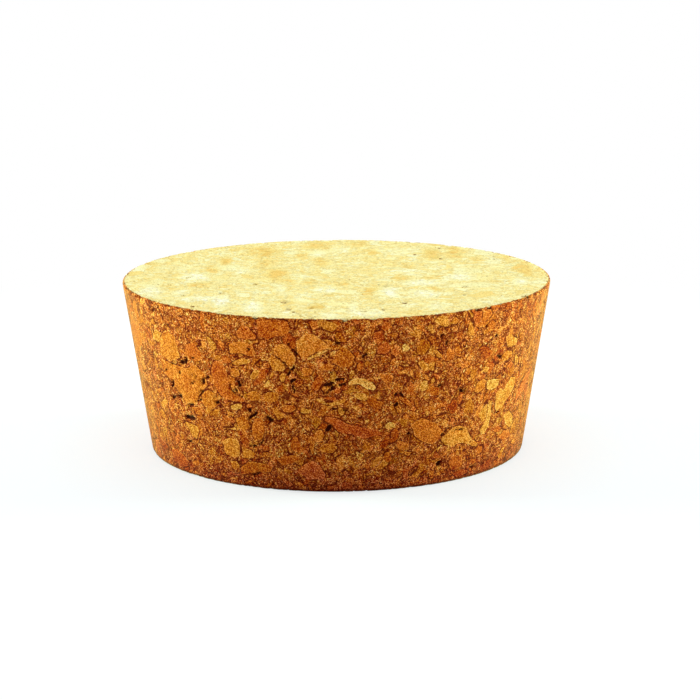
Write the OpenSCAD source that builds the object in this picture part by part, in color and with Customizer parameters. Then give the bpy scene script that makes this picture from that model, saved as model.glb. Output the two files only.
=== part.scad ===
// Agglomerated cork stopper for a wide jar mouth: one pressed and ground
// body of cork granules, a plain tapered plug with no bore or handle.
// Millimetres. The origin is the centre of the narrow end face, +Z runs up
// through the wide end, and the stopper stands on its narrow end.

/* [Plug] */
// Diameter of the wide (upper) end
top_d = 75; // [40:0.5:150]
// Diameter of the narrow (lower) end
bottom_d = 65.7; // [35:0.5:140]
// Height from end face to end face
height = 30; // [12:0.5:80]

/* [Edges] */
// Radius worn on the wide end's edge
top_edge_r = 0.4; // [0.2:0.1:2]
// Radius worn on the narrow end's edge
bottom_edge_r = 0.4; // [0.2:0.1:2]

/* [Looks] */
// Body colour
cork_col = "peru"; // [peru, tan, burlywood, sienna]

/* [Hidden] */
// Lean of the wall from upright, in degrees
taper = atan((top_d - bottom_d) / 2 / height);
// How far in from each sharp corner its edge arc's centre lies. The arc
// touches both the end face and the leaning wall.
top_inset = top_edge_r * tan((90 + taper) / 2);
bottom_inset = bottom_edge_r * tan((90 - taper) / 2);
arc_steps = 6;
turn_facets = 96;

// Points of an arc of radius r about [x, z], from angle a0 to angle a1
function arc(x, z, r, a0, a1) = [
    for (i = [0 : arc_steps])
        let (a = a0 + (a1 - a0) * i / arc_steps)
        [x + r * cos(a), z + r * sin(a)]
];

// Half section of the plug: axis, narrow end, wall, wide end
module plug_profile() {
    low = arc(bottom_d / 2 - bottom_inset, bottom_edge_r, bottom_edge_r, -90, -taper);
    high = arc(top_d / 2 - top_inset, height - top_edge_r, top_edge_r, -taper, 90);
    polygon(concat([[0, 0]], low, high, [[0, height]]));
}

module stopper() {
    color(cork_col)
        rotate_extrude($fn = turn_facets)
            plug_profile();
}

stopper();
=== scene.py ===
"""The looks of a cork stopper: pressed cork granules, ground to a taper.

The body is one mesh over the CAD plug. A single granule pattern, written once,
drives both its relief (Geometry Nodes, applied) and its colour (material), so
each pit and gap is dark exactly where it is deep. Lengths are in millimetres
until they reach a mesh or the camera, and the floor's and the lamps' in metres.
"""
import math

import bpy
import numpy as np
from mathutils import Euler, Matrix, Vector


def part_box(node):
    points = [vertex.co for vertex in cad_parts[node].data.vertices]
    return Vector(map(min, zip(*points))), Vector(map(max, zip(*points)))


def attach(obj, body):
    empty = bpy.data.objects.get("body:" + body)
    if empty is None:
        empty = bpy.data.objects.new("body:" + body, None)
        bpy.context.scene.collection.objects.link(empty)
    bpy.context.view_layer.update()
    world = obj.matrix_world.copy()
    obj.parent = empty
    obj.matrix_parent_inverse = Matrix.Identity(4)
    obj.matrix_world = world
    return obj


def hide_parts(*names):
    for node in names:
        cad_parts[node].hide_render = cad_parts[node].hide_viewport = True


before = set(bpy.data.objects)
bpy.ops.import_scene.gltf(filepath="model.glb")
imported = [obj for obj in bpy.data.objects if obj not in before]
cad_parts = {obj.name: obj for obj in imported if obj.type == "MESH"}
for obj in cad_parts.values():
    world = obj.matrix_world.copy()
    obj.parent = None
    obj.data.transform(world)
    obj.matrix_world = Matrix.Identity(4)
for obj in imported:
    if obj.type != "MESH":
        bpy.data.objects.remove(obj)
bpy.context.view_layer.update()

MM = 0.001
LOW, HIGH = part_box("stopper")
HEIGHT = (HIGH.z - LOW.z) / MM
WIDE = (HIGH.x - LOW.x) / MM
UNROLLED_R = WIDE * 0.47     # the wall's mean radius, round which it is unrolled flat


def cad_outline():
    """(radius, height) in mm up the CAD plug's own wall, from its narrow edge to its wide edge."""
    by_height = {}
    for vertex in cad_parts["stopper"].data.vertices:
        z = round(vertex.co.z / MM, 3)
        radius = math.hypot(vertex.co.x, vertex.co.y) / MM
        by_height[z] = max(radius, by_height.get(z, 0))
    return np.array([(by_height[z], z) for z in sorted(by_height)])


OUTLINE = cad_outline()


# ---------------------------------------------------------------- camera

LENS = 117.15                    # focal length
SENSOR = 36                      # its width
PITCH = math.radians(12.59)      # how far it looks down
LEAN = math.radians(-0.25)       # how far its horizon leans
TARGET = (0.0309, 0, 0.2222)     # what it looks at, as shares of the wide end's width
DISTANCE = 5.385                 # how far from that it stands, likewise


def make_camera():
    """Looks along +Y from just above the wide end."""
    back = Vector((0, -math.cos(PITCH), math.sin(PITCH)))
    facing = back.to_track_quat("Z", "Y") @ Euler((0, 0, LEAN)).to_quaternion()
    data = bpy.data.cameras.new("camera")
    data.lens = LENS
    data.sensor_width = SENSOR
    camera = bpy.data.objects.new("camera", data)
    camera.rotation_euler = facing.to_euler()
    camera.location = Vector(TARGET) * WIDE * MM + back * DISTANCE * WIDE * MM
    bpy.context.scene.collection.objects.link(camera)
    bpy.context.scene.camera = camera


# ---------------------------------------------------------------- node trees

def any_wide(terms):
    """Whether a colour or a vector is among the terms."""
    return any(isinstance(t, tuple) or isinstance(t, Wire) and t.wide for t in terms)


class Wire:
    """An output socket that Python's operators work on: values through Math, colours and
    vectors through Vector Math."""

    def __init__(self, net, socket):
        self.net = net
        self.socket = socket
        self.wide = socket.type in {"VECTOR", "RGBA"}

    def operator(name, swapped=False):
        """The method behind one operator. It is swapped where the wire stands on the right."""
        def work(self, other):
            return self.net.maths(name, *((other, self) if swapped else (self, other)))
        return work

    __add__, __radd__ = operator("ADD"), operator("ADD", True)
    __sub__, __rsub__ = operator("SUBTRACT"), operator("SUBTRACT", True)
    __mul__, __rmul__ = operator("MULTIPLY"), operator("MULTIPLY", True)
    __truediv__, __rtruediv__ = operator("DIVIDE"), operator("DIVIDE", True)

    def also(self, name):
        """Another output of the same node."""
        return Wire(self.net, self.socket.node.outputs[name])


class Net:
    """A node tree, for a material or for relief, that is written as Python expressions."""

    def __init__(self, tree):
        self.tree = tree

    def node(self, kind, settings=None, sockets=None, out=0):
        """Makes a node, sets it up, then fills its sockets with numbers or wires."""
        made = self.tree.nodes.new(kind)
        for name, value in (settings or {}).items():
            if name == "stops":
                self.set_stops(made.color_ramp, value)
            else:
                setattr(made, name, value)
        for key, value in (sockets or {}).items():
            self.feed(made.inputs[key], value)
        return Wire(self, made.outputs[out]) if made.outputs else made

    def feed(self, socket, value):
        """Links a wire to a socket, or sets the socket's own value."""
        if isinstance(value, Wire):
            self.tree.links.new(value.socket, socket)
        elif socket.type == "RGBA":
            socket.default_value = (*value, 1)
        elif socket.type == "VECTOR" and not isinstance(value, tuple):
            socket.default_value = (value, value, value)
        else:
            socket.default_value = value

    def set_stops(self, ramp, stops):
        """Gives a colour ramp its stops, each a place from 0 to 1 and a colour."""
        while len(ramp.elements) < len(stops):
            ramp.elements.new(1)
        for element, (at, colour) in zip(ramp.elements, stops):
            element.position = at
            element.color = (*colour, 1)

    def maths(self, operation, *terms):
        """A Math node, or a Vector Math node where a colour or a vector is among the terms."""
        kind = "ShaderNodeVectorMath" if any_wide(terms) else "ShaderNodeMath"
        out = "Value" if operation in {"DOT_PRODUCT", "LENGTH"} else 0
        return self.node(kind, {"operation": operation}, dict(enumerate(terms)), out)

    def given(self, name, kind="FLOAT"):
        """A value that is stored on the mesh."""
        if self.tree.type == "GEOMETRY":
            return self.node("GeometryNodeInputNamedAttribute", {"data_type": kind}, {"Name": name})
        out = "Vector" if kind == "FLOAT_VECTOR" else "Fac"
        return self.node("ShaderNodeAttribute", {"attribute_name": name}, out=out)

    def noise(self, at, scale, detail=1.0, roughness=0.5, out=0):
        """Soft noise from 0 to 1, scale lumps to the mm."""
        sockets = {"Vector": at, "Scale": scale, "Detail": detail, "Roughness": roughness}
        return self.node("ShaderNodeTexNoise", {"noise_dimensions": "3D"}, sockets, out)

    def cells(self, at, feature="F1", out="Color"):
        """Cells about 1 across, each of one random colour."""
        sockets = {"Vector": at, "Scale": 1.0, "Randomness": 0.95}
        return self.node("ShaderNodeTexVoronoi", {"feature": feature}, sockets, out)

    def rise(self, value, start, end):
        """0 below start, 1 above end and smooth between. It falls where start is above end."""
        low, high = min(start, end), max(start, end)
        to = (0.0, 1.0) if start < end else (1.0, 0.0)
        sockets = {"Value": value, "From Min": low, "From Max": high, "To Min": to[0], "To Max": to[1]}
        return self.node("ShaderNodeMapRange", {"interpolation_type": "SMOOTHSTEP"}, sockets)

    def mix(self, share, a, b):
        """a where share is 0 and b where it is 1."""
        wide = any_wide((a, b))
        pins = (6, 7, 2) if wide else (2, 3, 0)
        settings = {"data_type": "RGBA" if wide else "FLOAT"}
        return self.node("ShaderNodeMix", settings, {0: share, pins[0]: a, pins[1]: b}, pins[2])

    def larger(self, a, b):
        return self.maths("MAXIMUM", a, b)

    def parts(self, vector):
        """A vector's three numbers."""
        x = self.node("ShaderNodeSeparateXYZ", None, {0: vector})
        return x, x.also("Y"), x.also("Z")

    def radius_and_height(self, place):
        """Distance from the stopper's axis, and height above its narrow end."""
        x, y, z = self.parts(place)
        return self.maths("SQRT", x * x + y * y), z

    def shows_backdrop(self):
        """1 for the rays that show the backdrop: the camera's, and those off or through a shiny piece."""
        path = self.node("ShaderNodeLightPath", out="Is Camera Ray")
        all_three = path + path.also("Is Glossy Ray") + path.also("Is Transmission Ray")
        return self.maths("MINIMUM", all_three, 1.0)


# ---------------------------------------------------------------- granules

# Layers of granules from the smallest to the largest; each one covers those before it.
# size: mean length, width and thickness, mm. patch: over how many mm they lie the same way.
# share: how many of the layer's places hold one. trim: how much of a place is left round its
# granule, as shares of its size, at least and at most. large: left out where listed granules
# are laid.
GRANULES = (
    {"size": (1.30, 0.65, 0.60), "patch": 1.8, "share": 1.00, "trim": (0.00, 0.00), "large": False},
    {"size": (1.50, 0.50, 0.55), "patch": 1.9, "share": 0.35, "trim": (0.00, 0.06), "large": False},
    {"size": (2.70, 1.25, 1.10), "patch": 4.1, "share": 0.38, "trim": (0.00, 0.12), "large": False},
    {"size": (3.60, 1.80, 1.60), "patch": 6.0, "share": 0.26, "trim": (0.01, 0.14), "large": False},
    {"size": (4.40, 3.30, 2.60), "patch": 9.0, "share": 0.24, "trim": (0.01, 0.14), "large": True},
    {"size": (7.00, 5.20, 4.20), "patch": 14.0, "share": 0.16, "trim": (0.02, 0.14), "large": True},
)
FULL_TURN = 6.28
FILL_TONES = (0.38, 0.20)    # how far tones spread in the layer that fills every place, and their lift
CHIP_TONES = (0.50, 0.24)    # the same in the layers over it

# A granule's edge, in mm in from its outline. soft: where its colour is full. line: the dark
# line round it, from none to full. painted_highlight_band: the light band within it, a painted
# highlight where its edge would catch light, from none to full. fray: how far torn fibres shift
# the outline.
PRESSED_EDGE = {"soft": 0.08, "line": (0.12, 0.04), "painted_highlight_band": (0.40, 0.16), "fray": 0.18}
LAID_EDGE = {"soft": 0.08, "line": (0.16, 0.05), "painted_highlight_band": (0.36, 0.16), "fray": 0.20}

# Depths below the ground cone, in mm.
GAP_DEPTH = 0.03         # a closed gap between granules
TORN_DEPTH = 0.10        # what is added where the gap has torn open
PORE_DEPTH = 0.45
CRUMBLED_DEPTH = 0.28


def edge_bands(net, rim, edge, unit=1.0):
    """Three bands along a granule's edge, 0 to 1: the granule itself, the line round it and the
    painted highlight band just within it. rim: distance in from the outline, in units of so many mm."""
    soft = edge["soft"] / unit
    thin, full = (length / unit for length in edge["line"])
    inner, outer = (length / unit for length in edge["painted_highlight_band"])
    itself = net.rise(rim, 0.0, soft)
    line = net.rise(net.maths("ABSOLUTE", rim), thin, full)
    return itself, line, net.rise(rim, inner, outer)


def covered(net, cut, mask, tone, level, inside, line):
    """The cut (tone, level, inside, gap) once more granules lie over it."""
    old_tone, old_level, old_inside, old_gap = cut
    return (
        net.mix(mask, old_tone, tone),
        net.mix(mask, old_level, level),
        net.larger(old_inside * (1 - mask), mask * inside),
        net.larger(old_gap * (1 - mask), line),
    )


def pressed_layer(net, cut, layer, lay, blotch, ragged, kept):
    """Lays one of GRANULES over the cut. Its places are cells, stretched and turned patch by patch."""
    width = layer["size"][1]
    lie = net.cells(lay * (1 / layer["patch"])) * FULL_TURN
    sockets = {"Vector": lay, "Rotation": lie}
    turned = net.node("ShaderNodeVectorRotate", {"rotation_type": "EULER_XYZ"}, sockets)
    own = turned * tuple(1 / length for length in layer["size"])
    cell = net.cells(own)
    here, own_tone, own_level = net.parts(cell)
    least, most = layer["trim"]
    rim = net.cells(own, "DISTANCE_TO_EDGE", "Distance") - (own_level * (most - least) + least)
    rim = rim + ragged * (PRESSED_EDGE["fray"] / width)
    share = layer["share"] * net.given("free") if layer["large"] else layer["share"]
    held = net.maths("LESS_THAN", here, share)
    itself, line, painted_highlight_band = edge_bands(net, rim, PRESSED_EDGE, width)
    mask = held * itself
    line = held * kept * line * min(width * 0.5 + 0.3, 1)
    spread, lift = FILL_TONES if layer["share"] == 1 else CHIP_TONES
    tone = own_tone * spread + blotch * 0.5 + (lift - spread * 0.5)
    # Painted shade: each granule is lighter towards one side and darker towards the other, in a random
    # direction, like shading across it.
    painted_slope_shade = net.maths("DOT_PRODUCT", own - cell.also("Position"), cell - 0.5)
    # Painted highlight: a lighter band just inside each granule's edge, where its edge would catch light.
    level = own_level * 0.24 - own_tone * 0.10 + 0.91 + painted_slope_shade * 0.22 + mask * painted_highlight_band * 0.06
    return covered(net, cut, mask, tone, level, min(width / 2, 1), line)


def laid_layer(net, cut, place, blotch, ragged, kept):
    """Lays the listed granules over the cut."""
    warp = net.noise(place, 0.75, 1.0)
    rim = net.given("laid_edge") + ragged * LAID_EDGE["fray"] + (warp - 0.5) * 0.12
    mask, line, painted_highlight_band = edge_bands(net, rim, LAID_EDGE)
    tone = net.given("laid_tone") + (blotch - 0.5) * 0.45 - 0.05
    # Painted highlight: a lighter band just inside each granule's edge, where its edge would catch light.
    level = net.given("laid_level") + (warp - 0.5) * 0.25 + painted_highlight_band * 0.08 - 0.03
    return covered(net, cut, mask, tone, level, 1.0, kept * line)


def granule_cut(net, place):
    """The cut through the pressed granules at each point: tone (0 dark to 1 pale), level (how
    light a granule is for its tone), inside (1 in a granule of some size), gap (1 in the lines
    between granules) and ragged (what frays their edges). Pressing has bent the layers, and
    grinding has torn their edges."""
    bend = (net.noise(place, 0.28, 1.0, out="Color") - 0.5) * 2.2
    fray = net.noise(place, 1.6, 3.0, 0.7, out="Color") - 0.5
    lay = place + bend + fray * 0.25
    blotch = net.noise(lay, 0.45, 3.0, 0.65)
    ragged = net.parts(fray)[0]
    kept = net.rise(net.noise(place, 0.70, 1.0), 0.40, 0.56)
    cut = (0.5, 1.0, 0.0, 0.0)
    for layer in GRANULES:
        cut = pressed_layer(net, cut, layer, lay, blotch, ragged, kept)
    cut = laid_layer(net, cut, place, blotch, ragged, kept)
    return (*cut, ragged)


def pore_field(net, place):
    """1 in the listed pits and cracks and in the small pores strewn through the block."""
    hole = net.rise(net.given("hole_edge") + (net.noise(place, 2.0, 3.0, 0.8) - 0.5) * 1.1, -0.05, 0.12)
    lay = place + (net.noise(place, 1.1, 2.0, 0.6, out="Color") - 0.5) * 0.9
    cell = net.cells(lay * 0.42)
    here, size, _ = net.parts(cell)
    reach = size * 0.15 + 0.03
    held = net.maths("LESS_THAN", here, 0.14)
    return net.larger(hole, held * net.rise(cell.also("Distance") - reach, 0.03, -0.03))


def worn_edge(net, place):
    """1 where the sharp edges of the two end faces have crumbled, which the wide one has most."""
    radius, z = net.radius_and_height(place)
    crumbs = net.rise(net.noise(place, 1.5, 3.0, 0.7), 0.52, 0.62)
    lip = 0
    for (corner_r, corner_z), wear in ((OUTLINE[0], 0.25), (OUTLINE[-1], 1.0)):
        off_r, off_z = radius - float(corner_r), z - float(corner_z)
        near = net.maths("SQRT", off_r * off_r + off_z * off_z)
        lip = net.rise(near, 1.0, 0.2) * wear + lip
    return lip * crumbs


def relief(net, place, gap, pores):
    """How far the surface lies below the ground cone, in mm."""
    torn = net.rise(net.noise(place, 0.6, 1.0), 0.48, 0.62)
    gaps = gap * (torn * TORN_DEPTH + GAP_DEPTH)
    return gaps + pores * PORE_DEPTH + worn_edge(net, place) * CRUMBLED_DEPTH


# ---------------------------------------------------------------- what is laid one by one

# The large granules that show on the front of the wall. Each one is a tone (0 rust, 1 pale),
# a level (how light it is for its tone) and its corners as "turn,height": degrees round the
# wall, from 0 at the front and growing to the right, and mm above the table.
LAID_GRANULES = (
    # left side
    (0.66, 1.02, "-54,24 -50.5,25.5 -47,24.8 -45.5,21 -50,20 -54.5,20.5"),
    (0.58, 1.03,
     "-55,20 -50,19.7 -44,19.5 -40,20.5 -37,19 -36.5,17 -39.5,15.5 -42,13.2 -46,13 "
     "-50,15.5 -54,17.5"),
    (0.60, 1.00, "-39.5,15.5 -36.5,16.5 -34,15.8 -33.5,14 -36,12.8 -39,13.2"),
    (0.44, 1.03, "-43.5,22.5 -42,24 -39.5,24.3 -37.3,22.8 -38,21.2 -41,21 -43,21.5"),
    (0.80, 1.00, "-58,23.5 -56,25 -52.5,24.8 -53,23 -55.5,22.7"),
    (0.40, 1.03,
     "-35,20 -33.5,21.8 -31,21.8 -29.6,20 -29.3,17.5 -27.5,16.3 -25,15.6 -25.2,15 -29,14.9 "
     "-32.5,15.5 -34.5,17.5"),
    (0.76, 1.02, "-48.5,9.8 -44,9.6 -42.5,9.3 -42,8.5 -43.5,6.8 -45,7.2 -46.5,8.5"),
    (0.38, 1.00, "-58,3.5 -54,4 -50,3 -49,1.5 -52,0.8 -57,1.2"),
    (0.68, 1.04, "-34,7.5 -31.5,8.5 -28.5,8.3 -27.8,7 -28.3,5.2 -30.5,5 -33,5.2"),
    # left of the middle, from the wide end down
    (0.42, 1.06, "-26,27.2 -24,28.5 -22.4,28.3 -20,26.8 -20.4,26 -25.3,26.1"),
    (0.40, 1.00, "-19.9,29.8 -11.9,29.8 -11.1,28.2 -12.3,26.9 -15,26.8 -17.2,26.2 -19.8,26.7"),
    (0.54, 1.03, "-28.5,25 -25,25.7 -21.5,25.3 -20.5,23.6 -22,23 -25,23.5 -28.3,23.2"),
    (0.76, 1.03, "-28.2,21.8 -25,22.8 -22.5,22.6 -22.3,22 -25,21.5 -27.5,21.3"),
    (0.60, 1.07, "-16.3,23.9 -15.3,25.3 -13.6,25.8 -12,25.4 -9.9,23.3 -10.3,22.3 -12.2,21.8 -15,23.4"),
    (0.66, 1.03, "-17.7,22.7 -16.3,23.9 -15,23.2 -12.5,21.6 -13.6,21 -15.9,20.8 -16.8,21.5"),
    (0.74, 1.00, "-14.9,20 -14,20.9 -12.8,20.3 -13.6,19 -14.7,19.3"),
    (0.58, 1.12, "-10,26.2 -7.3,27.7 -5.1,27.5 -1,25.3 -4.9,24.3 -8.4,23.1 -10,24.3"),
    # A narrow pale band along the lower edge of the granule before it: a painted highlight on that
    # granule's bevel.
    (0.88, 1.06, "-8.2,23 -4.9,24.3 -0.8,25.3 -1.5,24.7 -4.7,23.6 -6.6,23.1"),
    (0.30, 0.98, "-22.5,17.9 -20.2,18.5 -18,20.2 -17,21.3 -19.5,21.3 -20.2,19.8 -21.9,18.9"),
    (0.72, 1.00, "-23.3,19.5 -22,20.8 -20,21 -20.3,20 -22,19"),
    (0.84, 1.03, "-19.3,18 -18,19.6 -17.2,19.3 -17.8,18"),
    (0.62, 1.02, "-29,19.5 -28,21 -26,20.8 -25.5,19.6 -27.5,19.2"),
    (0.64, 0.98, "-19.8,16.5 -18,17.4 -15.3,17.2 -15,16.2 -17,15.3 -19,15.5"),
    (0.60, 0.98, "-24.6,16.6 -22.5,17.4 -20.4,17 -20.6,15.6 -23,15.3"),
    (0.84, 1.04, "-30,14.2 -28,14.7 -26,14.8 -25.9,14 -28,13.4 -29.6,13.5"),
    (0.36, 1.08, "-25,14.6 -24,15 -22.9,14.7 -23.3,14 -24.6,13.9"),
    (0.50, 1.07, "-14.8,14.6 -13.5,15.3 -11,15.2 -10.3,14.5 -12,13.8 -14.3,13.8"),
    (0.78, 1.02, "-10,14 -9,14.9 -6.2,14.5 -6.5,13.9 -8.5,13.7"),
    (0.58, 1.00, "-28.8,12 -26.5,12.7 -24.5,12 -24,10.5 -26,10 -28,10.5"),
    (0.48, 1.02, "-23.8,11 -22,12.8 -20,12.2 -19.8,10.5 -20.5,8.8 -23,8.3 -23.8,9.5"),
    (0.66, 1.00, "-27.4,7.8 -26,7 -24.5,6.8 -22.8,6.2 -24,5.2 -27.5,5"),
    (0.48, 0.98, "-17,5.5 -15,6.3 -11.5,6.5 -10,6 -12,5 -15.5,4.3"),
    (0.60, 0.99, "-28.5,3.5 -25,4.8 -20,4.6 -18.2,4 -18.8,3.1 -22,2.9 -26.5,2.2 -28.6,2"),
    (0.27, 1.17, "-11.5,3.5 -9,5 -6.5,5.7 -4.5,4.7 -3,3.3 -3.2,2.3 -8,2.1 -9.5,2.8"),
    (0.38, 1.00, "-12.8,8 -12,9.8 -10.5,9.8 -9.8,8.2 -8.5,7.2 -10.5,6.9 -12.3,7.2"),
    # middle
    (0.50, 1.10, "-6.3,9.5 -5.5,10.9 -4,11.2 -2.9,10.2 -4,9 -5.5,8.7"),
    (0.62, 0.96, "-4.8,7.8 -3,8.8 -0.5,8.6 0.5,7.8 -1,6.8 -3.5,7"),
    (0.22, 1.07, "-3,13.5 0,13.2 3,12.2 7,11.5 11.5,10.8 13,10 8,9.3 5,10 0.5,10.6 -1.5,12 -3.2,12.5"),
    (0.74, 1.02, "-6,16.3 -4,15.6 -1,15.1 1,15.4 3,16 2.2,16.5 0,16 -2,15.8 -4.5,16.5"),
    (0.50, 1.04, "-4,18.2 -3,18.8 -2.2,18.3 -3.2,17.6"),
    (0.26, 1.06, "-0.6,18 0.4,18.5 1.6,18 1,17.3 -0.2,17.3"),
    (0.26, 1.04, "-3.6,16.8 -2,16.9 0,16.8 0.6,16.3 -2,16.1 -3.4,16.5"),
    (0.34, 1.02, "-6.6,18.4 -5,20.4 -3.6,20.4 -3.4,19 -4.8,17.5"),
    (0.52, 1.01, "-1.3,22.7 0.3,24.6 1.6,25.5 3.2,25 5,23.7 4.2,21.9 1.5,21.8"),
    (0.44, 1.06, "-7,29.8 -4.5,29.8 -4.1,28.5 -5.7,28.1"),
    (0.66, 1.01, "-4,29.8 -1,29.8 0.9,28.9 -0.6,27.8 -3.2,28.3"),
    (0.52, 1.02, "-9,21.3 -7.5,21.9 -5.6,21.4 -6.2,20.4 -8.2,20.2"),
    (0.54, 1.00, "-4.2,22 -2.5,22.6 -0.2,22.2 -0.6,21.4 -3.4,21.3"),
    (0.75, 1.19, "3,19.2 4.5,20 7.5,19.9 9.5,19.2 10.8,18.3 10,17.6 8.2,18 6,18.9 3.5,18.7"),
    (0.76, 1.04, "4.5,16.9 5.5,17.5 7.5,17.3 8.8,16.2 7.5,15.9 5.8,16.2"),
    (0.40, 1.00, "5.2,22.2 6.4,23 7.4,22.2 6.6,21 5.4,21.2"),
    (0.26, 1.07, "10.2,24 11,25.5 12.8,26.2 14.2,25 13.6,24 12.5,23.8"),
    (0.40, 1.05, "14,24.6 15.2,25 16.6,23.8 15.6,23.2 14.2,23.8"),
    (0.38, 1.02, "11,28.4 12,29.5 13.8,29.3 13.6,28 12.2,27.7"),
    (0.92, 1.06, "16.6,25.2 17.8,25.6 19.3,24.6 18.5,24 17.3,24.2"),
    (0.64, 0.86, "20.8,24.5 22,26.2 24.5,25.5 25,24.6 23.2,23.2 21.2,23.4"),
    (0.86, 1.05, "12.9,11.2 14,12.1 15.8,12 16.6,10.9 15,11 13.8,10.8"),
    (0.50, 1.04, "10.8,11.4 11.8,12 12.8,11.8 12.6,11 11.4,10.9"),
    (0.50, 1.05, "17.7,12.8 19,13.5 20.3,12.8 19.4,12"),
    (0.60, 0.98, "6.8,8 8,9 9.8,8.6 9.5,7.5 7.8,7.2"),
    (0.52, 0.99, "12.9,5.6 13.6,7 15,6.8 16,5.4 14.6,4.8"),
    (0.42, 1.02, "7.2,4.4 8.4,5 9.6,4.6 8.8,3.9"),
    (0.12, 1.04, "1,1.5 3,1.9 5,1.2 4,0.5 1.5,0.5"),
    # right of the middle
    (0.76, 1.05, "25,29 27,29.8 29,29.5 29.9,28 29,27.5 26.8,28"),
    (0.72, 1.02, "25.4,23.8 26.5,24 28.6,23 28.3,22.2 26.8,22.6"),
    (0.72, 1.04, "21,22.2 23,22.5 24.9,21 24,20.2 22.6,20.8"),
    (0.84, 1.03, "22.3,17.8 23.5,19 24.9,18.6 24.6,17.2 23.2,16.8"),
    (0.32, 1.07, "20.3,14 21.2,14.6 22.2,14.1 21.6,13.4"),
    (0.50, 1.04, "20.6,11.5 24,12.4 28,11.2 30.9,9.6 29.5,8 27.5,7.2 24.5,8 21.8,9.2"),
    (0.38, 1.09, "22.4,6.8 23.4,7.3 24.2,6.6 23.2,6.1"),
    (0.70, 1.00, "27.2,2 28.2,2.8 29.6,1.8 29,1 27.8,1.2"),
    (0.70, 1.08,
     "30,8 32.5,9.2 34.7,10 36.7,10 38.9,9.3 40.4,8.1 42.2,6.9 40.2,6.2 36.8,6.7 34.6,6.3 "
     "32,6.8"),
    (0.50, 1.02, "33.5,3.8 36,4.8 38.5,4.2 39.5,2.8 37.5,1.8 35,2"),
    (0.42, 1.04, "35.5,1.4 39,2 42,1.4 41.5,0.8 37,0.6"),
    (0.62, 1.01, "30.3,28.5 31.5,29.3 32.8,28.5 32,27.8 30.8,27.9"),
    (0.50, 1.04, "29.5,23.5 30.5,24.3 31.8,22.8 31.5,21.8 29.8,21.6"),
    (0.50, 1.04, "36,19.2 37.2,20 38.6,19 37.5,18.4"),
    (0.72, 1.02, "25.3,18.6 26.4,19.5 27.2,18.5 26,17.8"),
    (0.28, 0.90, "31.7,13.6 33,14.9 34.8,14.5 35,12.8 33,12.1"),
    # right side
    (0.74, 1.01, "41.8,18.8 43.5,19.7 45.2,19.2 44.7,18.3"),
    (0.34, 1.07, "36.8,28.5 38,29.7 40.2,29.5 39.8,27.6 38,27.3"),
    (0.50, 1.04, "40.4,29.5 43,29.8 44,28.5 42,27.6 40.2,27.8"),
    (0.66, 1.01, "35.5,27 36.3,28.3 37.8,26.8 38,25.4 36,25.6"),
    (0.48, 1.03, "42.3,26.8 44,27.8 46,26.8 45,25.6 43,25.5"),
    (0.76, 1.00, "50.5,23.5 52,24.5 55,23.5 57.5,22.8 56,21.8 52.5,21.8"),
    (0.64, 1.00, "50,20.8 52,21.5 55,21 55.5,20 52,19.4 50.3,19.8"),
    (0.86, 1.02, "44.9,17.1 47.5,17 50.7,16.7 50.3,15.4 47.5,14.9 45.1,15.4"),
    (0.60, 1.02, "40.3,15.4 41,17.1 43.5,17.5 44.8,17 44.5,15.8 42.5,15"),
    (0.76, 1.04,
     "49.6,14.2 51.5,14.9 53.5,14.3 54.5,15.5 56.5,16.3 59,16 59.3,14 57.5,13 54.5,11.4 "
     "51.5,10.5 50,11.5"),
    (0.80, 1.03, "46.8,13.5 48.6,13 48.9,10.5 48.3,8.5 46.5,7.3 44.2,8 46.7,10"),
    (0.78, 1.01, "44.8,12.2 46.3,13 47.2,11.5 46.4,9.8 45.2,9.5 43,11"),
    (0.42, 1.05, "42.8,14.2 43.8,15 44.8,14.2 44,13.5"),
    (0.48, 1.05, "54,5.8 57,6.8 61,6 62,5 59,4.7 56,5"),
    (0.36, 1.00, "50.5,7.5 52.5,8.2 55.5,7.5 54.5,6.8 52,6.8"),
    (0.82, 1.00, "55,9.5 58,10.2 61.5,8.8 62.5,7 60,6.6 57,8"),
    (0.74, 1.00, "40.5,6.2 42.5,6.8 44.6,6 44.5,5.2 42,5.6"),
    (0.86, 1.00, "55.5,2 57.5,3.5 59.5,3.5 58.5,2.5 57,1.4"),
    (0.38, 1.06, "53,18.5 55,19.3 57,18.6 55.5,17.8"),
)

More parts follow.
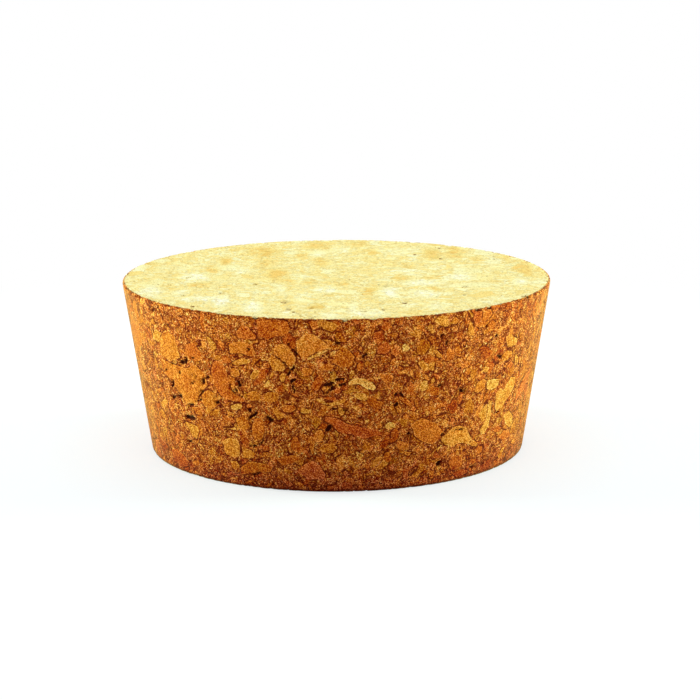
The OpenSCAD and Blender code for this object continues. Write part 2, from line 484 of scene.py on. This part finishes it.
# Torn pits and cracks on the front of the wall: half width in mm, then the line they follow.
LAID_HOLES = (
    (0.32, "-45.9,20.2 -43.8,20.4 -43.3,21.2"),
    (0.18, "-50.4,19.6 -49.4,19.4"),
    (0.16, "-53.5,18.1 -51.8,18.4"),
    (0.34, "-51.3,15.6 -50.6,16.3"),
    (0.26, "-49.2,13.8 -47.7,14.1"),
    (0.20, "-45,12.7 -43,13.2"),
    (0.20, "-52.2,13.4 -50.5,13.6"),
    (0.42, "-38.3,17.5 -37.8,17.9"),
    (0.20, "-37,18.4 -36,18.6"),
    (0.25, "-39.2,15.5 -38.9,15.8"),
    (0.22, "-41,14 -40,14.3"),
    (0.30, "-34.3,14.3 -33.8,14.4"),
    (0.17, "-34.4,15.3 -34.3,15.3"),
    (0.38, "-47,10.5 -43.6,10.6"),
    (0.26, "-47.5,6 -46.6,6.2"),
    (0.20, "-55.5,28.2 -54.5,28.4"),
    (0.18, "-53,29.1 -52.3,29.3"),
    (0.17, "-50.2,26.1 -49.2,26.4"),
    (0.18, "-41.3,21.4 -40.6,21.4"),
    (0.14, "-43,18 -41.8,18.4 -40.4,18.2"),
    (0.14, "-43,17 -42,16.8 -41.2,17.4"),
    (0.30, "-26.6,18.5 -26.3,17.8"),
    (0.16, "-25.2,18.4 -25,18.9"),
    (0.13, "-29,17.8 -28.9,16.9 -27.6,16.2 -25.8,15.9"),
    (0.13, "-15,23.3 -13.6,22.5 -12.3,21.6"),
    (0.18, "-12,25.6 -10.7,24.6 -9.9,23.8"),
    # Under that granule's pale band: a crack, whose dark colour also stands for the shadow line below the
    # granule, partly painted shadow.
    (0.12, "-9,22.8 -6.5,22.8 -4.2,23.4 -0.8,24.6"),
    (0.22, "-12.5,20.3 -10.8,21.7"),
    (0.28, "-11.7,19.2 -10.7,19.5"),
    (0.20, "-11.2,18.4 -10.9,17.4"),
    (0.22, "-24.2,12.3 -22,13.3"),
    (0.36, "-18.8,12.6 -17.7,12.2"),
    (0.15, "-24.8,7.3 -22.5,7.5 -20.4,8.6"),
    (0.20, "-24.5,2.3 -23,2.5"),
    (0.34, "-2.4,18.8 -1,19.1"),
    (0.26, "-1.3,18 -0.6,18.5"),
    (0.17, "-3.8,17.2 -2.6,17.4 -1.5,17.7"),
    (0.28, "0.2,19.6 1.8,19.8"),
    (0.22, "1,19 2.2,18.7"),
    (0.15, "-1,14.6 2.8,14.3"),
    (0.38, "-2.4,11 -1.7,11.5"),
    (0.28, "0.2,26.1 0.8,26"),
    (0.18, "-1.4,21 -1.1,20.8"),
    (0.22, "7,23.4 7.8,24"),
    (0.26, "17.2,16.8 18.2,16.3"),
    (0.13, "6,19.5 6.1,19.5"),
    (0.13, "7.5,19 7.7,19"),
    (0.13, "8.7,18.5 8.8,18.4"),
    (0.22, "28.1,17.5 28.9,17.6"),
    (0.32, "29.5,24.5 29.7,24.9"),
    (0.26, "27.8,26.2 28.4,26.2"),
    (0.22, "20,9.6 20.5,9.8"),
    (0.14, "30.5,8.6 32.4,9.6 34.5,10.3"),
    (0.14, "35,9.1 36.5,9.2 38.2,9"),
    (0.24, "35.2,16.1 36.7,15.9"),
    (0.26, "48.2,20.9 49.7,20.4"),
    (0.26, "46.6,24.7 47,24.1"),
    (0.20, "41.8,26.6 42.2,26.6"),
    (0.22, "42.3,1.8 44.4,1.8"),
    (0.18, "50.4,10.2 52.4,10.6"),
)

# Pale and golden clouds on the wide end: how pale (below 0: how golden), then
# "x,y,half width,half depth" in mm from its middle, x to the right and y away from the front.
LAID_CLOUDS = (
    (1.0, "-25,-0.5,2.4,4.2 -31.5,-13,1.8,4.2 -23,-20,2.6,2.2 -19.2,-22,1.3,4.8 -13.7,-27,1.5,4"),
    (1.0, "21.6,-1.3,2.4,3.6 15,-6.5,3.4,2.8 9,-14.5,1.7,4.4 15,-16.5,2.4,3.4 31.8,-6,1.4,2.8"),
    (0.8, "-5.5,-19,1.6,3.8 -1.6,-12.5,1.7,3.2 35,-7,1.4,3 2.8,-27,1.1,3 5,-33,2.8,3 -0.8,-34.5,1.4,2"),
    (0.6, "-26.7,-14,1.5,2.4 -9.6,-11,0.9,4 -17,6,1.4,3.6 -3.5,21.5,1.5,3.6 27,-23,1.9,3 16.5,-27,1.6,2.6"),
    (0.5, "11.5,24,3.6,4 1,25.5,2,3.4 28.5,13,2,5 11.8,3.8,3.2,2.2 -6,-0.5,2.6,2.4 12,-26,1.3,1.8"),
    (0.4, "18.5,10,1.2,4 13.7,17,1,3.4 22,7.5,1,3 -13,-14.5,1,4 -27,8.5,1.2,3 -15,14,1,3 -8,-32,1.3,2.4"),
    (-1.0, "-10.3,1.5,1.4,6 33.3,6.5,1.6,6.2 -20.2,16,0.9,4.8 17.4,21.5,1.5,5 21.8,22,1.6,5.6"),
    (-0.8,
     "-23.6,-8,1.7,2.2 -22.2,7,1.1,3.4 -3.6,31,2.2,3.6 -14.5,24.5,2.6,4.6 11.4,-1.8,1,3.4 "
     "-6.7,21,0.9,4"),
    (-0.7,
     "-33.4,10,1.4,4.2 -29.9,15,1.1,3.6 -13.2,13,1.8,6 -3,13.5,1.2,4.2 -4.5,-5,1.2,3 "
     "-8,-4,1,3.4 36,2,0.9,4"),
    (-0.6,
     "4.2,31.5,1.7,3.6 25.4,14.5,1.2,3.4 17.2,-1,1.3,4 16.6,-12,1.1,2 5.3,-15,1,3.4 "
     "1,-7,1,2.6 30.6,14,1,4"),
    (-0.5,
     "-27.6,14,1,3.6 -29,-9.5,1.2,2.6 9.5,11,1.2,3.4 12.8,9,1.1,3 12.6,-32,1.2,2.4 "
     "-3,-27.5,1.6,1.2 6.2,24,1,4"),
)

# Dark specks on the wide end and nicks in its edge: half width, then "x,y" of each.
LAID_SPECKS = (
    (0.72, "-8.5,-23.2 11.3,-23.8 25.5,-28 31.8,-18.6"),
    (0.62, "8.6,-9.8 22,-10.5 -7.7,-28.8 -34,-16.5 -35.6,-14"),
    (0.52, "-19.4,-14.8 4.7,-31 -5.6,-34 7.7,-29.6 23.4,-29.6 -3.8,-35.4"),
    (0.45,
     "-3.9,-28 -5.9,-32.4 6.1,-36.3 8.7,-35.4 14.8,-35.3 -12.9,-35 -25.6,-17 -8,-37 "
     "1.5,-37.3 18.6,-33.2"),
)

LAID_TURN = 70           # degrees either side of the front that laid granules may reach
FREE_TURN = (60, 68)     # the turn at which large pressed granules come in, from none to all
CLOUD_REACH = 1.5        # a cloud fades out at this many times its own half size
FAR_OUT = -9.0           # the distance in, for a spot that is nowhere near


def numbers(text):
    """A text's groups as rows of numbers."""
    return np.array([[float(v) for v in group.split(",")] for group in text.split()])


def turn_and_height(text):
    """Corners in mm, across and up the unrolled front of the wall."""
    return numbers(text) * (math.radians(1) * UNROLLED_R, 1)


def off_line(spots, start, end):
    """Distance from each spot to a straight line between two corners."""
    along = end - start
    share = np.clip((spots - start) @ along / max(along @ along, 1e-9), 0, 1)
    return np.linalg.norm(spots - start - share[:, None] * along, axis=1)


def depth_inside(spots, corners):
    """Distance in from a granule's outline, and less than 0 outside it."""
    nearest = np.full(len(spots), np.inf)
    within = np.zeros(len(spots), bool)
    for start, end in zip(corners, np.roll(corners, -1, axis=0)):
        nearest = np.minimum(nearest, off_line(spots, start, end))
        spans = (start[1] > spots[:, 1]) != (end[1] > spots[:, 1])
        climb = end[1] - start[1] or 1
        crossing = start[0] + (spots[:, 1] - start[1]) / climb * (end[0] - start[0])
        within ^= spans & (spots[:, 0] < crossing)
    return np.where(within, nearest, -nearest)


def lay_granules(flat, front):
    """For every spot: the distance in from the nearest laid granule's edge, its tone and its
    level. Where two granules overlap, their shared edge runs halfway between."""
    deepest = np.full(len(flat), FAR_OUT)
    second = deepest.copy()
    tone, level = np.full(len(flat), 0.5), np.ones(len(flat))
    for own_tone, own_level, text in LAID_GRANULES:
        depth = np.full(len(flat), FAR_OUT)
        depth[front] = depth_inside(flat[front], turn_and_height(text))
        second = np.maximum(second, np.minimum(depth, deepest))
        ahead = depth > deepest
        deepest = np.maximum(depth, deepest)
        tone[ahead], level[ahead] = own_tone, own_level
    return np.minimum(deepest, (deepest - second) / 2), tone, level


def lay_holes(spots, flat, front):
    """For every spot: the distance in from the nearest edge of a pit, a crack or a speck."""
    depth = np.full(len(spots), FAR_OUT)
    for half_width, text in LAID_SPECKS:
        for x, y in numbers(text):
            depth = np.maximum(depth, half_width - np.linalg.norm(spots - (x, y, HEIGHT), axis=1))
    for half_width, text in LAID_HOLES:
        line = turn_and_height(text)
        for start, end in zip(line, line[1:]):
            depth[front] = np.maximum(depth[front], half_width - off_line(flat[front], start, end))
    return depth


def lay_clouds(spots):
    """For every spot: how pale (below 0: how golden) the clouds on the wide end make it."""
    pale = np.zeros(len(spots))
    on_top = spots[:, 2] > HEIGHT - 0.01
    for strength, text in LAID_CLOUDS:
        for x, y, half_x, half_y in numbers(text):
            reach = np.hypot((spots[:, 0] - x) / half_x, (spots[:, 1] - y) / half_y)
            pale += strength * on_top * np.clip(CLOUD_REACH - reach, 0, 1)
    return pale


def laid_values(spots):
    """What every point of the mesh is told of the listed work, by the name it is stored
    under. free: 1 where no listed granule is laid."""
    turn = np.degrees(np.arctan2(spots[:, 0], -spots[:, 1]))
    flat = np.column_stack([np.radians(turn) * UNROLLED_R, spots[:, 2]])
    wall = np.hypot(spots[:, 0], spots[:, 1]) > OUTLINE[0, 0] - 0.5
    front = wall & (np.abs(turn) < LAID_TURN)
    edge, tone, level = lay_granules(flat, front)
    start, end = FREE_TURN
    free = np.where(wall, np.clip((np.abs(turn) - start) / (end - start), 0, 1), 1)
    return {
        "laid_edge": edge, "laid_tone": tone, "laid_level": level,
        "hole_edge": lay_holes(spots, flat, front), "laid_pale": lay_clouds(spots), "free": free,
    }


# ---------------------------------------------------------------- body mesh

ROUND = 792          # points round the wall
TOP_RINGS = 66       # rings across the wide end; ring k has 6k points
BASE_RINGS = 40      # rings across the narrow end
WALL_ROWS = 90       # rows up the straight wall
EDGE_BAND = 1        # how far from each end the rows are the CAD's own, for its rounded edges
BAKE_MAP = 148       # side of the square that the flattened skin fits in
BAKE_MARGIN = 2.0    # gap between its parts


def end_rings(corner, rings):
    """(radius, height, points) of each ring across an end face, from its middle out."""
    radius, z = corner
    return [(radius * k / (rings + 1), z, 6 * k) for k in range(rings + 1)]


def body_rings():
    """(radius, height, points) of each ring, from the middle of the narrow end, out, up the
    wall and in to the middle of the wide end."""
    foot = OUTLINE[OUTLINE[:, 1] < EDGE_BAND]
    brow = OUTLINE[OUTLINE[:, 1] > HEIGHT - EDGE_BAND]
    wall = np.linspace(foot[-1], brow[0], WALL_ROWS + 1)[1:-1]
    skirt = [(r, z, ROUND) for r, z in np.vstack([foot[::2], wall, brow[::2]])]
    return end_rings(OUTLINE[0], BASE_RINGS), skirt, end_rings(OUTLINE[-1], TOP_RINGS)[::-1]


def band(low_count, high_count):
    """Faces between two rings, as corners (ring 0 or 1, step round it). A count of 0 is the
    middle point."""
    if low_count == high_count:
        return [((0, i), (0, i + 1), (1, i + 1), (1, i)) for i in range(low_count)]
    faces = []
    i = j = 0
    while i < low_count or j < high_count:
        if j == high_count or i < low_count and (i + 1) * high_count <= (j + 1) * low_count:
            faces.append(((0, i), (0, i + 1), (1, j)))
            i += 1
        else:
            faces.append(((0, i), (1, j + 1), (1, j)))
            j += 1
    return faces


def body_mesh():
    """The plug's skin before its relief, with its resting place stored on every point and a
    flattened map for baking."""
    base, skirt, crown = body_rings()
    rings = base + skirt + crown
    sizes = [max(count, 1) for _, _, count in rings]
    first = np.cumsum([0] + sizes)
    spots, faces, corners = [], [], []
    for (radius, z, _), size in zip(rings, sizes):
        turn = np.arange(size) * 2 * math.pi / size
        spots.append(np.column_stack([radius * np.cos(turn), radius * np.sin(turn), np.full(size, z)]))
    for k, (low, high) in enumerate(zip(rings, rings[1:])):
        for face in band(low[2], high[2]):
            faces.append([int(first[k + side]) + step % sizes[k + side] for side, step in face])
            corners.extend((k, k + side, step) for side, step in face)
    spots = np.vstack(spots)
    mesh = bpy.data.meshes.new("cork_body")
    mesh.from_pydata(spots * MM, [], faces)
    mesh.shade_smooth()
    mesh.attributes.new("place", "FLOAT_VECTOR", "POINT").data.foreach_set("vector", spots.ravel())
    for name, values in laid_values(spots).items():
        mesh.attributes.new(name, "FLOAT", "POINT").data.foreach_set("value", values)
    layer = mesh.uv_layers.new(name="OFBake")
    flat = flattened(np.array(rings), len(base), len(base) + len(skirt), np.array(corners), spots, faces)
    layer.data.foreach_set("uv", (flat / BAKE_MAP).ravel())
    return mesh


def flattened(rings, wall_start, wall_end, corners, spots, faces):
    """Each face corner's place in mm on the bake map: the wall in two strips, one above the
    other, and over them the two end faces side by side."""
    band_of, ring, step = corners.T
    run = np.insert(np.cumsum(np.hypot(*np.diff(rings[:, :2], axis=0).T)), 0, 0)
    strip = run[wall_end - 1] - run[wall_start] + BAKE_MARGIN
    flat = spots[np.concatenate([np.array(f) for f in faces])][:, :2] + (
        OUTLINE[-1, 0] + BAKE_MARGIN,
        OUTLINE[-1, 0] + BAKE_MARGIN + 2 * strip,
    )
    flat[band_of < wall_start, 0] += OUTLINE[-1, 0] + OUTLINE[0, 0] + BAKE_MARGIN
    wall = np.where((band_of >= wall_start) & (band_of < wall_end - 1))[0].reshape(-1, 4)
    second = step[wall[:, :1]] >= ROUND // 2
    round_mm = (step[wall] - second * (ROUND // 2)) * math.pi * WIDE / ROUND
    flat[wall, 0] = round_mm + BAKE_MARGIN
    flat[wall, 1] = run[ring[wall]] - run[wall_start] + BAKE_MARGIN + second * strip
    return flat


def press_relief(piece):
    """Sinks the mesh into its gaps, pores and crumbled edges, and keeps the result."""
    tree = bpy.data.node_groups.new("cork_relief", "GeometryNodeTree")
    tree.interface.new_socket("Geometry", in_out="INPUT", socket_type="NodeSocketGeometry")
    tree.interface.new_socket("Geometry", in_out="OUTPUT", socket_type="NodeSocketGeometry")
    net = Net(tree)
    place = net.given("place", "FLOAT_VECTOR")
    _, _, _, gap, _ = granule_cut(net, place)
    depth = relief(net, place, gap, pore_field(net, place))
    normal = net.node("GeometryNodeInputNormal")
    body = net.node("NodeGroupInput")
    sunk = net.node("GeometryNodeSetPosition", None, {"Geometry": body, "Offset": normal * (depth * -MM)})
    net.node("NodeGroupOutput", None, {0: sunk})
    modifier = piece.modifiers.new("relief", "NODES")
    modifier.node_group = tree
    shaped = bpy.data.meshes.new_from_object(piece.evaluated_get(bpy.context.evaluated_depsgraph_get()))
    piece.modifiers.clear()
    piece.data = shaped


# ---------------------------------------------------------------- cork material

# Colours are as they look to the eye, from the darkest granules' to the palest's.
WALL_TONES = (
    (0.00, (0.585, 0.188, 0.002)),
    (0.15, (0.645, 0.247, 0.006)),
    (0.30, (0.693, 0.307, 0.020)),
    (0.45, (0.733, 0.371, 0.044)),
    (0.60, (0.768, 0.440, 0.088)),
    (0.75, (0.797, 0.513, 0.154)),
    (0.90, (0.826, 0.592, 0.245)),
    (1.00, (0.858, 0.670, 0.350)),
)
# The ends' tones: paler than the wall's, partly as a cut face is and partly as painted light, the look of a
# face in strong light from above.
END_TONES_CUT_AND_LIT = (
    (0.00, (0.888, 0.729, 0.410)),
    (0.20, (0.897, 0.786, 0.492)),
    (0.45, (0.909, 0.844, 0.607)),
    (0.70, (0.923, 0.891, 0.724)),
    (1.00, (0.937, 0.923, 0.889)),
)
# Dark flecks and dark lines between granules, and also a painted contact shadow along the narrow end's
# edge.
DARK_FLECK_AND_SHADE = (0.29, 0.060, 0.005)
PIT = (0.19, 0.050, 0.016)
END_SPECK = (0.44, 0.25, 0.10)
GRAIN_TINT = (0.98, 1.02, 0.94)
DARKEST = (0.03, 0.015, 0.005)
PALEST = (1.0, 1.0, 0.95)
EYE_GAMMA = 2.2
SHEEN_TINT = (1.0, 0.97, 0.36)

LIP_TURN = (-0.13, -0.03)    # how far out from an end face the wall's colour gives way to it
BUMP_DEPTH = 0.15


def cork_dust(net, place):
    """The finest parts at each point, 0 to 1: a soft noise, which grains of dust are dark,
    which are light, and specks smaller than them."""
    fine = net.noise(place, 2.4, 2.0, 0.8)
    dust_dark, _, dust_light = net.parts(net.cells(place * 4.4 + fine * 1.5))
    speck = net.parts(net.cells(place * 8.2))[0]
    return fine, dust_dark, dust_light, speck


def wall_colour(net, place, cut, dust, pores, worn):
    """Rusty to golden granules with dark dust between them, with painted shade towards the table: a darker,
    redder lower band and a painted shadow line along the narrow end's edge.
    """
    tone, level, inside, gap, _ = cut
    fine, dust_dark, dust_light, speck = dust
    above_table = net.parts(place)[2]
    gravel = (net.rise(net.noise(place, 0.26, 3.0, 0.65), 0.42, 0.58) * 0.65 + 0.35) * (1 - inside)
    dark = net.rise(dust_dark, 0.46, 0.24) * net.rise(fine, 0.60, 0.48) * gravel
    dark = net.larger(dark, gap * net.rise(fine, 0.67, 0.56))
    dark = net.larger(dark, worn * 0.8)
    # Painted shadow: a dark line along the narrow end's edge, where it meets the table.
    dark = net.larger(dark, net.rise(above_table, 0.8, 0.2) * 0.75)
    grain = (dust_light - 0.5) * (gravel * 0.36) + (fine - 0.5) * (0.12 - inside * 0.05)
    grain = grain + (speck - 0.5) * (0.94 - inside * 0.42)
    # Painted shade: the tone falls towards the table, making the lower wall darker and redder.
    foot = net.rise(above_table, 8.0, 0.0) * 0.22 + net.rise(above_table, 3.0, 0.0) * 0.16
    wall = net.node("ShaderNodeValToRGB", {"stops": WALL_TONES}, {0: tone - foot - gravel * 0.08})
    wall = wall + (level - 1) * 0.65 - gravel * 0.02 + grain * GRAIN_TINT
    wall = net.mix(dark * 0.84, wall, DARK_FLECK_AND_SHADE)
    return net.mix(pores * 0.95, wall, PIT)


def cut_and_lit_end_colour(net, cut, dust, pores):
    """The freshly cut ends: pale straw with golden and nearly white clouds and a few specks. Their paleness
    is partly the cut face's own and partly painted light, the look of a face in strong light from above.
    """
    tone, level, _, gap, ragged = cut
    fine, dust_dark, _, speck = dust
    cloud = net.given("laid_pale") * (ragged * 0.8 + 0.32)
    end_tone = tone * 0.95 - 0.03 + (fine - 0.5) * 0.35 + cloud
    ends = net.node("ShaderNodeValToRGB", {"stops": END_TONES_CUT_AND_LIT}, {0: end_tone})
    ends = ends + (level - 1) * 0.12 + (speck - 0.5) * 0.15
    dots = net.rise(dust_dark, 0.06, 0.03) * 0.35
    return net.mix(net.larger(pores * 0.9, net.larger(gap * 0.12, dots)), ends, END_SPECK)


def end_faces(net, place, ragged, worn):
    """1 on the two cut ends, out to where their edges have crumbled."""
    radius, z = net.radius_and_height(place)
    torn = ragged * 0.5 - worn * 0.3
    top_face = z - HEIGHT - radius + (float(OUTLINE[-1, 0]) + torn)
    base_face = torn + float(OUTLINE[0, 0]) - radius - z
    return net.rise(top_face, *LIP_TURN) + net.rise(base_face, *LIP_TURN)


def cork_shader(net, shown, bump, roughness, sheen):
    """shown: the colour as it looks to the eye, which is turned into light here."""
    bounded = net.maths("MINIMUM", net.maths("MAXIMUM", shown, DARKEST), PALEST)
    return net.node(
        "ShaderNodeBsdfPrincipled", None,
        {
            "Base Color": net.node("ShaderNodeGamma", None, {"Color": bounded, "Gamma": EYE_GAMMA}),
            "Roughness": roughness,
            "Specular IOR Level": 0.05,
            "Sheen Weight": sheen,
            "Sheen Roughness": 0.3,
            "Sheen Tint": SHEEN_TINT,
            "Normal": bump,
        },
    )


def cork_material():
    """The ground wall and the cut ends, which are one body under two finishes. The ends are paler partly as
    a cut face and partly by painted light.
    """
    material = bpy.data.materials.new("pressed_cork")
    material.use_nodes = True
    tree = material.node_tree
    tree.nodes.clear()
    net = Net(tree)
    place = net.given("place", "FLOAT_VECTOR")
    cut = granule_cut(net, place)
    _, _, inside, _, ragged = cut
    dust = cork_dust(net, place)
    pores = pore_field(net, place)
    worn = worn_edge(net, place)
    wall = wall_colour(net, place, cut, dust, pores, worn)
    ends = cut_and_lit_end_colour(net, cut, dust, pores)

    height = net.noise(place, 2.2, 3.0, 0.7)
    sockets = {"Strength": 0.6, "Distance": BUMP_DEPTH * MM, "Height": height}
    bump = net.node("ShaderNodeBump", None, sockets, out="Normal")
    wall_shader = cork_shader(net, wall, bump, 0.90 - inside * 0.08, 0.6)
    end_shader = cork_shader(net, ends, bump, 0.9, 0.0)
    at_end = end_faces(net, place, ragged, worn)
    both = net.node("ShaderNodeMixShader", None, {0: at_end, 1: wall_shader, 2: end_shader})
    net.node("ShaderNodeOutputMaterial", None, {"Surface": both})
    return material


def make_body():
    body = bpy.data.objects.new("cork_body", body_mesh())
    bpy.context.scene.collection.objects.link(body)
    bpy.context.view_layer.update()
    press_relief(body)
    body.data.materials.clear()
    body.data.materials.append(cork_material())
    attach(body, "root")
    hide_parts("stopper")


# ---------------------------------------------------------------- studio

WHITE = (1, 1, 1)
FLOOR_REACH = 4.0                          # half the floor's side, in metres
SHADOW_FADE = (1.2, 2.2)                   # where the shadow fades out, in widths from the middle
BOUNCE_RISE = (0.45, 1.3)                  # where the floor turns from grey to pale, likewise
# Painted shade: near the stopper the floor is grey to the light it sends back, though white to the camera,
# which darkens the lower wall.
BOUNCE_PAINTED_SHADE = (0.25, 0.25, 0.25)           # what the stopper gets back from the floor near it
BOUNCE_PALE = (0.95, 0.95, 0.95)           # and from the floor further off
SHADOW_COLOUR = (0.345, 0.375, 0.430)      # the part of the floor that is seen which takes a shadow
FLOOR_GLOW = 0.60                          # and the part which doesn't
WORLD_LIGHT = 0.76

LAMPS = (("left_box", -102), ("right_box", 102))     # 0 is behind the camera, 90 to its right
LAMP_RISE = 11                                       # degrees above level
LAMP_DISTANCE = 0.6                                  # metres
LAMP_SIDE = 0.3                                      # metres
LAMP_WATTS = 5.1
STRAW = (1.0, 1.18, 0.86)


def floor_material():
    """White, with a real shadow near the stopper that fades to plain white."""
    material = bpy.data.materials.new("white_sweep")
    material.use_nodes = True
    material.node_tree.nodes.clear()
    net = Net(material.node_tree)
    away = net.maths("LENGTH", net.node("ShaderNodeNewGeometry", out="Position"))
    fade = net.rise(away, *(share * WIDE * MM for share in SHADOW_FADE))
    pale = net.rise(away, *(share * WIDE * MM for share in BOUNCE_RISE))
    # Painted shade: grey near the stopper for bounced light only, darkening the lower wall.
    bounce = net.node("ShaderNodeBsdfDiffuse", None, {"Color": net.mix(pale, BOUNCE_PAINTED_SHADE, BOUNCE_PALE)})
    shadowed = net.node("ShaderNodeBsdfDiffuse", None, {"Color": SHADOW_COLOUR})
    glow = net.node("ShaderNodeEmission", None, {"Color": WHITE, "Strength": FLOOR_GLOW})
    near = net.node("ShaderNodeAddShader", None, {0: shadowed, 1: glow})
    white = net.node("ShaderNodeEmission", None, {"Color": WHITE, "Strength": 1.0})
    shown = net.node("ShaderNodeMixShader", None, {0: fade, 1: near, 2: white})
    surface = net.node("ShaderNodeMixShader", None, {0: net.shows_backdrop(), 1: bounce, 2: shown})
    net.node("ShaderNodeOutputMaterial", None, {"Surface": surface})
    return material


def make_floor():
    mesh = bpy.data.meshes.new("floor")
    corners = [(x * FLOOR_REACH, y * FLOOR_REACH, LOW.z) for x, y in ((-1, -1), (1, -1), (1, 1), (-1, 1))]
    mesh.from_pydata(corners, [], [(0, 1, 2, 3)])
    mesh.materials.append(floor_material())
    floor = bpy.data.objects.new("floor", mesh)
    bpy.context.scene.collection.objects.link(floor)


def make_world():
    """White where it is seen, and a soft light from all round where it isn't."""
    world = bpy.data.worlds.new("studio")
    bpy.context.scene.world = world
    world.use_nodes = True
    world.node_tree.nodes.clear()
    net = Net(world.node_tree)
    strength = net.mix(net.shows_backdrop(), WORLD_LIGHT, 1.0)
    sky = net.node("ShaderNodeBackground", None, {"Color": WHITE, "Strength": strength})
    net.node("ShaderNodeOutputWorld", None, {"Surface": sky})


def softbox(name, azimuth):
    """A square lamp that faces the stopper."""
    data = bpy.data.lights.new(name, "AREA")
    data.size = LAMP_SIDE
    data.energy = LAMP_WATTS
    data.color = STRAW
    lamp = bpy.data.objects.new(name, data)
    a, e = math.radians(azimuth), math.radians(LAMP_RISE)
    aim = Vector((math.sin(a) * math.cos(e), -math.cos(a) * math.cos(e), math.sin(e)))
    lamp.location = Vector((0, 0, HEIGHT * MM / 2)) + aim * LAMP_DISTANCE
    lamp.rotation_euler = aim.to_track_quat("Z", "Y").to_euler()
    bpy.context.scene.collection.objects.link(lamp)


def light_studio():
    make_world()
    for name, azimuth in LAMPS:
        softbox(name, azimuth)


make_camera()
make_body()
make_floor()
light_studio()
bpy.context.scene.view_settings.view_transform = "Standard"
